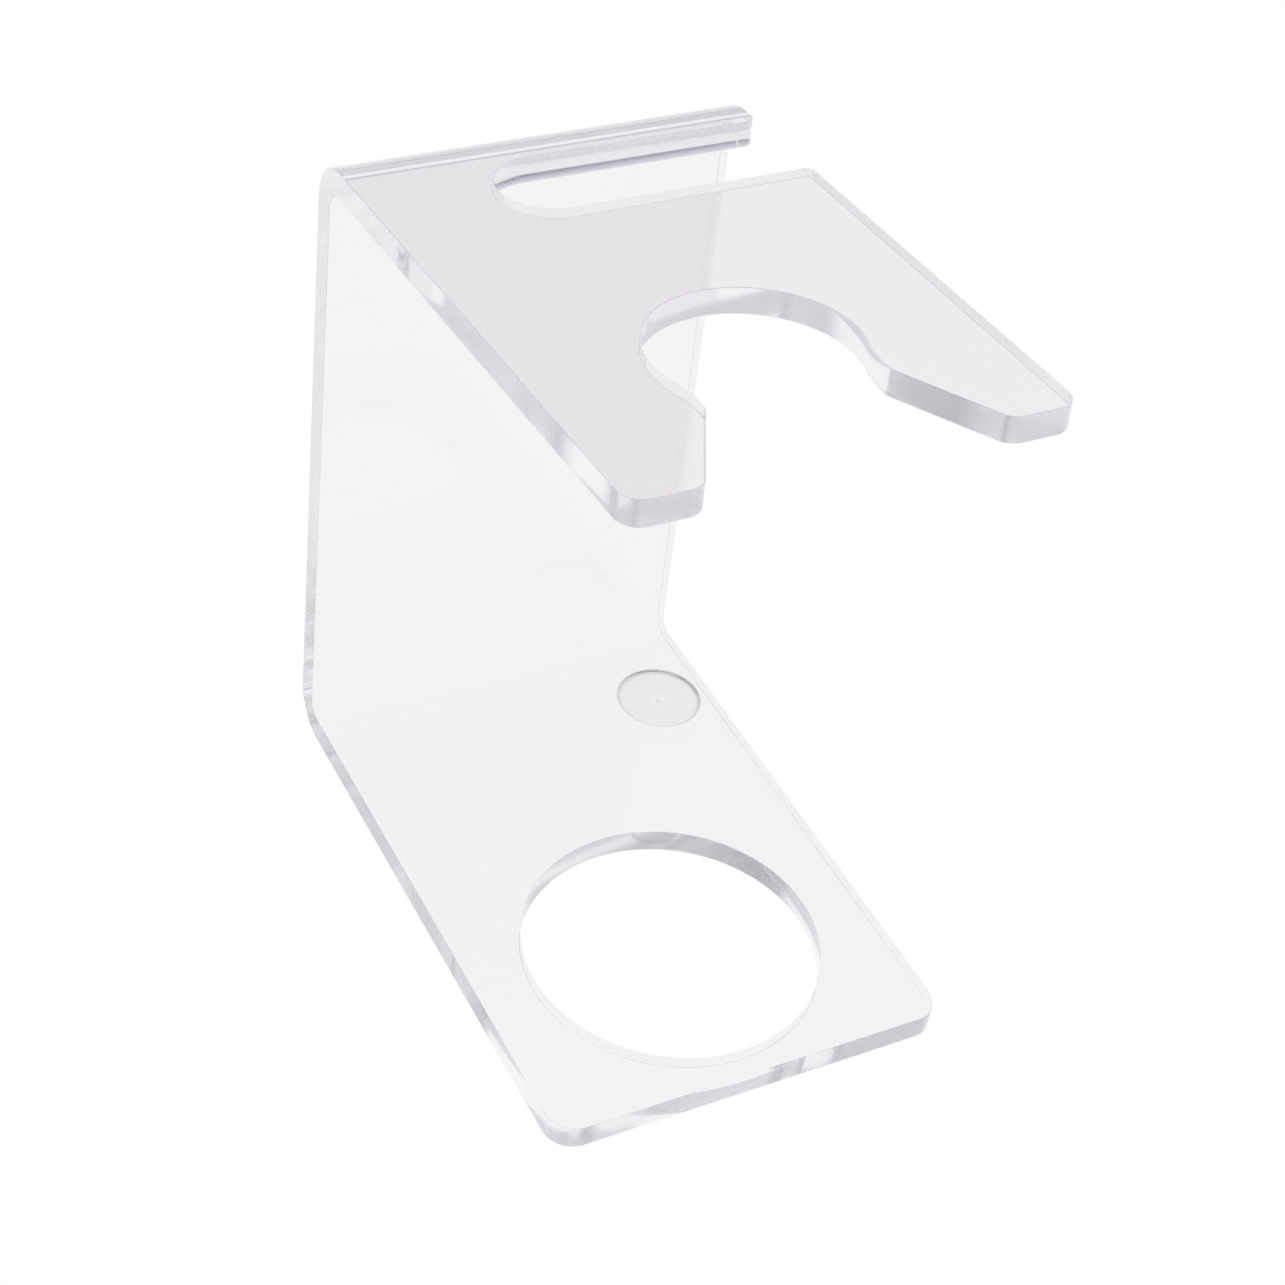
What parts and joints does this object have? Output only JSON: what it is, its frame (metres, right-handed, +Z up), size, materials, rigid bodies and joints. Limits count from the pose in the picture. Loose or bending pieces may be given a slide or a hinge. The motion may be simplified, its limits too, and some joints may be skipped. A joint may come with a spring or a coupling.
{
  "type": "shaving stand",
  "caption": "Clear acrylic C-shaped stand that holds a shaving brush in a keyhole notch over a round opening, and a razor in a side slot.",
  "frame": {"origin": "on the surface the stand rests on, at the centre of the footprint of its bounding box", "axes": "+Z up, -Y towards the front where the brush notch opens, +X towards the side where the razor slot opens"},
  "size_m": [0.072, 0.1124, 0.1257],
  "materials": {
    "clear_acrylic": "clear, polished faces with slightly matt cut edges"
  },
  "bodies": {
    "root": {"bent_sheet": "clear_acrylic"}
  },
  "joints": []
}
